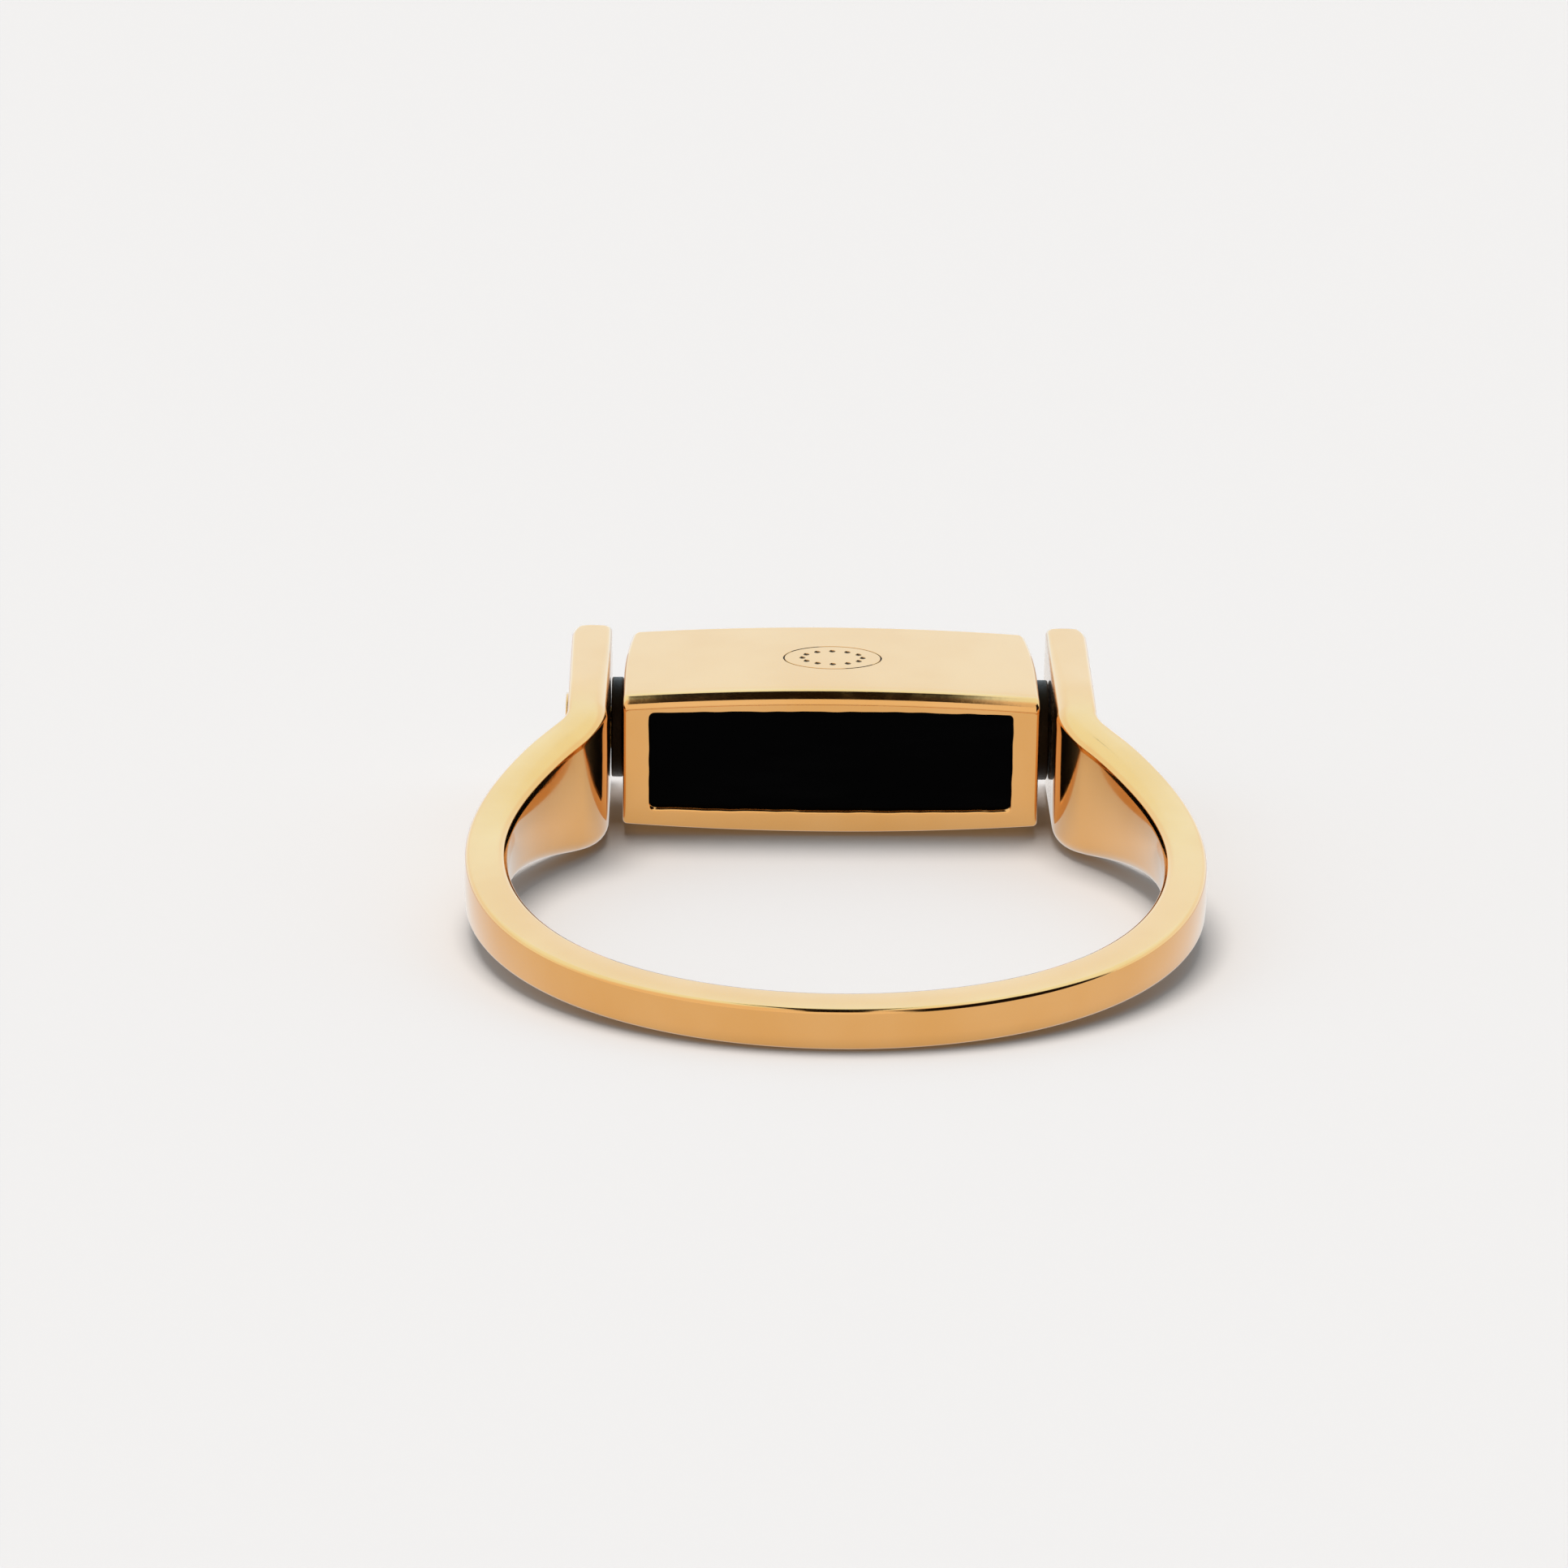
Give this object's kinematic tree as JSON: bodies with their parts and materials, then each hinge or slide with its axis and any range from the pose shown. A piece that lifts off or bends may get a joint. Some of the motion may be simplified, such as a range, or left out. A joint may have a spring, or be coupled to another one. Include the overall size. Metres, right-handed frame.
{
  "type": "swivel signet ring",
  "caption": "Ring with an omega-shaped band and a bar head on a riveted pin between two ears; the head turns over to show onyx or a plain gold table.",
  "frame": {"origin": "centre of the finger hole, on the ring's middle plane", "axes": "+X along the swivel pin, +Y from the back of the band towards the head, +Z along the finger's axis; the ring lies on its side"},
  "size_m": [0.0196, 0.023, 0.0042],
  "materials": {
    "polished_gold": "polished",
    "plain_gold": "satin",
    "onyx": "gloss"
  },
  "bodies": {
    "shank": {"shank": "polished_gold", "pivot_pin": "plain_gold", "washer_left": "plain_gold", "washer_right": "plain_gold"},
    "head": {"head_case": "polished_gold", "onyx_inlay": "onyx", "signet_plate": "polished_gold", "pivot_tube": "plain_gold"}
  },
  "joints": [
    {"name": "head_flip", "type": "hinge", "parent": "shank", "child": "head", "pos_m": [0, 0.01045, 0], "axis": [1, 0, 0], "continuous": true}
  ]
}
